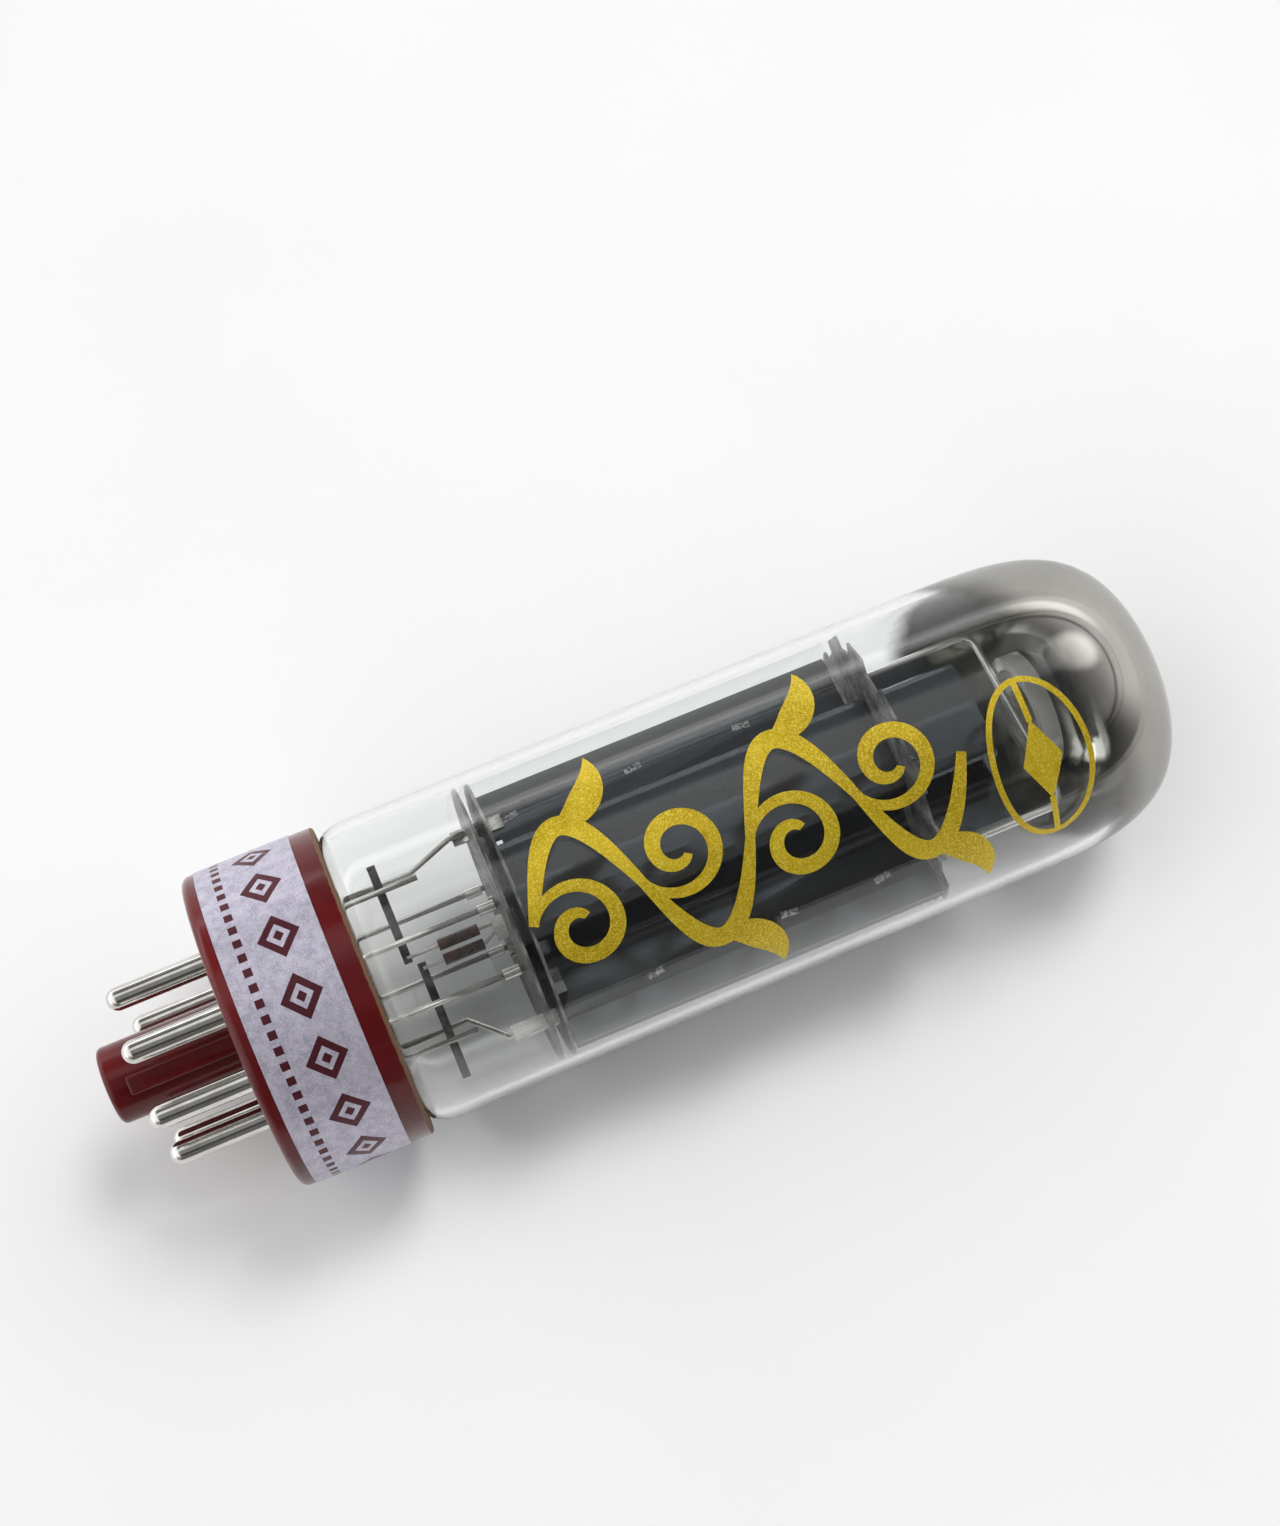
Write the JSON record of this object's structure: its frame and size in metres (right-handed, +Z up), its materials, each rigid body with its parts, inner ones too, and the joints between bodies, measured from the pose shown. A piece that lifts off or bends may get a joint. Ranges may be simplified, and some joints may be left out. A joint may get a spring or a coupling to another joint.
{
  "type": "vacuum tube",
  "caption": "Octal-based beam power vacuum tube lying on its side: clear straight glass bulb with a rounded mirrored dome, dark anode inside, maroon base with pins and keyed spigot.",
  "frame": {"origin": "centre of the bounding box's underside, on the surface that the valve lies on", "axes": "+X along the valve toward its dome, +Z up, +Y across"},
  "size_m": [0.1118, 0.0326, 0.0328],
  "materials": {
    "moulding": "dark maroon moulded plastic, glossy",
    "label_film": "thin silver-lilac label film, satin",
    "cement": "brown basing cement, rough",
    "plated_pin": "nickel-plated brass, bright",
    "clear_glass": "clear polished glass",
    "getter_film": "mirror film left by the getter",
    "mica": "sprayed mica, translucent grey",
    "carbonised_steel": "carbonised steel sheet, dark slate satin",
    "nickel": "bright nickel wire and strip",
    "cathode_sleeve": "nickel sleeve with a white oxide coat",
    "heater_wire": "tungsten wire with a white insulating coat",
    "dark_strip": "dark steel strip",
    "ceramic": "red-brown ceramic sleeve",
    "gold_ink": "gold printing ink"
  },
  "bodies": {
    "root": {"base": "moulding", "label_band": "label_film", "cement_ring": "cement", "pin_1": "plated_pin", "pin_2": "plated_pin", "pin_3": "plated_pin", "pin_4": "plated_pin", "pin_5": "plated_pin", "pin_7": "plated_pin", "pin_8": "plated_pin", "bulb": "clear_glass", "stem": "clear_glass", "getter_mirror": "getter_film", "bottom_mica": "mica", "lower_mica": "mica", "top_mica": "mica", "anode_upper_half": "carbonised_steel", "anode_lower_half": "carbonised_steel", "anode_tab_far": "nickel", "anode_tab_near": "nickel", "cathode": "cathode_sleeve", "heater": "heater_wire", "control_grid": "nickel", "screen_grid": "nickel", "beam_plate_far": "carbonised_steel", "beam_plate_near": "carbonised_steel", "lead_1": "nickel", "lead_2": "nickel", "lead_3": "nickel", "lead_4": "nickel", "lead_5": "nickel", "lead_6": "nickel", "lead_7": "nickel", "lead_8": "nickel", "lead_sleeve_1": "nickel", "lead_sleeve_4": "nickel", "lead_sleeve_5": "nickel", "lead_sleeve_8": "nickel", "heater_strip_first": "dark_strip", "heater_strip_second": "dark_strip", "heater_sleeve_first": "ceramic", "heater_sleeve_second": "ceramic", "top_shield": "carbonised_steel", "getter_bracket": "nickel", "getter_ring": "nickel", "gold_vine_print": "gold_ink", "gold_medallion_print": "gold_ink"}
  },
  "joints": []
}
